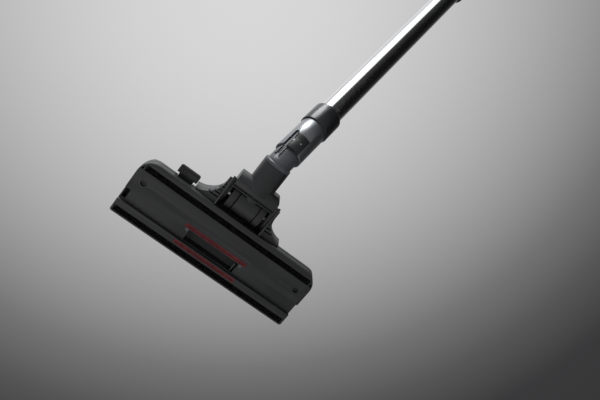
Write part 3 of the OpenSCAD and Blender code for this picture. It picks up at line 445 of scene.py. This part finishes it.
# %% [markdown]
# ## Rounded edges
# No moulding has a truly sharp edge, and it is the thin highlight along each rounded edge that
# makes a dark part readable. A CAD node's mesh must not change, so a copy of it is merged into
# one surface, its flat triangles are dissolved into faces, and a Bevel modifier rounds what is
# still sharp. The copy then stands for the node.

# %% Rounded copies of the moulded parts
bodies = frame["record"]["behaviour"]["bodies"]
body_of_node = {node: body for body, group in bodies.items() for node in group}


def rounded(node, width, segments=2, sharp=32, name=None):
    """A copy of a CAD node with its sharp edges rounded by width, in millimetres."""
    bare()
    piece = nodes[node].copy()
    piece.data = nodes[node].data.copy()
    for key in list(piece.keys()):
        del piece[key]
    piece.parent = None
    piece.name = name or node + "_shell"
    bpy.context.scene.collection.objects.link(piece)
    take(piece)
    bpy.ops.mesh.customdata_custom_splitnormals_clear()
    bpy.ops.object.mode_set(mode="EDIT")
    bpy.ops.mesh.select_all(action="SELECT")
    bpy.ops.mesh.remove_doubles(threshold=0.000002)
    bpy.ops.mesh.dissolve_limited(angle_limit=math.radians(0.4))
    bpy.ops.object.mode_set(mode="OBJECT")
    bevel = piece.modifiers.new("edges", "BEVEL")
    bevel.width = width * MM
    bevel.segments = segments
    bevel.limit_method = "ANGLE"
    bevel.angle_limit = math.radians(sharp)
    bevel.use_clamp_overlap = True
    bpy.ops.object.modifier_apply(modifier="edges")
    bpy.ops.object.shade_smooth_by_angle(angle=math.radians(sharp))
    finish(piece, slot_of[node])
    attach(piece, body_of_node[node])
    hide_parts(node)
    return piece


EDGE_WIDTHS = {
    "sole_plate": 0.45, "head_cover": 0.5, "knuckle": 0.5, "pedal": 0.5, "latch_lever": 0.3,
    "wand_sleeve": 0.25, "wand_collar": 0.4, "lock_housing": 0.6, "slide_button": 0.5,
    "end_ferrule": 0.4, "elbow": 0.3, "left_wheel": 0.4, "right_wheel": 0.4,
    "left_tyre": 0.6, "right_tyre": 0.6}
for node, width in EDGE_WIDTHS.items():
    piece = rounded(node, width)
    print(piece.name, len(piece.data.polygons), "faces")

# %% [markdown]
# ## Bristles
# A row of bristles is one bristle, modelled once and repeated: a slim five-sided cone with its
# root in the holder. Two Array modifiers make a block of them, a third repeats the block along
# the row, and moving every vertex a little at random takes the regularity away.

# %% Bristle rows


def repeated(piece, count, step):
    """Repeats a piece along step, a vector in metres, as real geometry."""
    take(piece)
    array = piece.modifiers.new("repeat", "ARRAY")
    array.count = count
    array.use_relative_offset = False
    array.use_constant_offset = True
    array.constant_offset_displace = step
    bpy.ops.object.modifier_apply(modifier="repeat")


def scattered(piece, amount, seed):
    """Moves every vertex at random by up to amount, in metres."""
    take(piece)
    bpy.ops.object.mode_set(mode="EDIT")
    bpy.ops.mesh.select_all(action="SELECT")
    bpy.ops.transform.vertex_random(offset=amount, uniform=0.0, normal=0.0, seed=seed)
    bpy.ops.object.mode_set(mode="OBJECT")


def settled(piece):
    """Writes the object's place into its mesh, so that the object itself sits at the origin."""
    take(piece)
    bpy.ops.object.transform_apply(location=True, rotation=True, scale=True)


def bristle_row(node, seed, blocks=20, across=6, along=16):
    low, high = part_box(node)
    size = high - low
    pitch = size.x / (blocks - 0.03)
    bare()
    bpy.ops.mesh.primitive_cone_add(
        vertices=5, radius1=0.00022, radius2=0.00036, depth=size.z,
        location=(low.x + 0.0005, low.y + 0.0004, (low.z + high.z) / 2))
    row = bpy.context.object
    row.name = node + "_tufts"
    take(row)
    bpy.ops.object.mode_set(mode="EDIT")
    bpy.ops.mesh.select_all(action="SELECT")
    bpy.ops.mesh.subdivide(number_cuts=1)
    bpy.ops.object.mode_set(mode="OBJECT")
    settled(row)
    repeated(row, across, (0, (size.y - 0.0008) / (across - 1), 0))
    repeated(row, along, ((pitch - 0.0012) / (along - 1), 0, 0))
    repeated(row, blocks, (pitch, 0, 0))
    scattered(row, 0.00034, seed)
    bpy.ops.object.shade_flat()
    finish(row, slot_of[node])
    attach(row, body_of_node[node])
    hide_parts(node)
    return row


for seed, node in enumerate(("front_bristles", "rear_bristles")):
    row = bristle_row(node, seed + 3)
    print(row.name, len(row.data.polygons), "faces")

# %% [markdown]
# ## Velvet strips
# Each strip is a rounded pad with a pile of short threads on its underside. One leaning thread is
# modelled and repeated over the pad; random shifts let the threads cross each other like pile.

# %% Velvet pads and their pile


def velvet(node, seed, gap=0.00062):
    pad = rounded(node, 0.9, 3)
    low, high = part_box(node)
    size = high - low
    columns = int((size.x - 0.0024) / gap)
    rows = int((size.y - 0.0018) / gap)
    bare()
    bpy.ops.mesh.primitive_cone_add(
        vertices=3, radius1=0.00018, radius2=0.00030, depth=0.0011,
        rotation=(math.radians(28), 0, 0),
        location=(low.x + 0.0012, low.y + 0.0009, low.z + 0.0001))
    pile = bpy.context.object
    settled(pile)
    repeated(pile, rows, (0, gap, 0))
    repeated(pile, columns, (gap, 0, 0))
    scattered(pile, 0.00040, seed)
    finish(pile, slot_of[node])
    take(pad)
    pile.select_set(True)
    bpy.ops.object.join()
    return pad


for seed, node in enumerate(("front_lint_strip", "rear_lint_strip")):
    pad = velvet(node, seed + 11)
    print(pad.name, len(pad.data.polygons), "faces")

# %% [markdown]
# ## Small mouldings
# A thin bead runs along the front edge of the channel, and a low rib closes the mouth's end.

# %% Bead and rib


def moulding(name, low, high, round_by, slot="base_plastic", body="head"):
    """A bar between two points of the head's frame, in millimetres, with rounded edges."""
    low, high = on_head(*low), on_head(*high)
    bare()
    bpy.ops.mesh.primitive_cube_add(size=1, location=(low + high) / 2)
    piece = bpy.context.object
    piece.name = name
    piece.scale = high - low
    settled(piece)
    bevel = piece.modifiers.new("edges", "BEVEL")
    bevel.width = round_by * MM
    bevel.segments = 3
    bpy.ops.object.modifier_apply(modifier="edges")
    bpy.ops.object.shade_smooth_by_angle(angle=math.radians(40))
    finish(piece, slot)
    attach(piece, body)
    return piece


# The bead's paler cover plastic paints a highlight along the channel's edge; its rounding also catches real light.
moulding("channel_bead", (-132, -25.0, -0.25), (132, -24.2, 0.6), 0.3, "cover_plastic")
moulding("mouth_rib", (-35.5, -19, 1.0), (-34.7, -6.7, 4.6), 0.25, "grey_plastic")
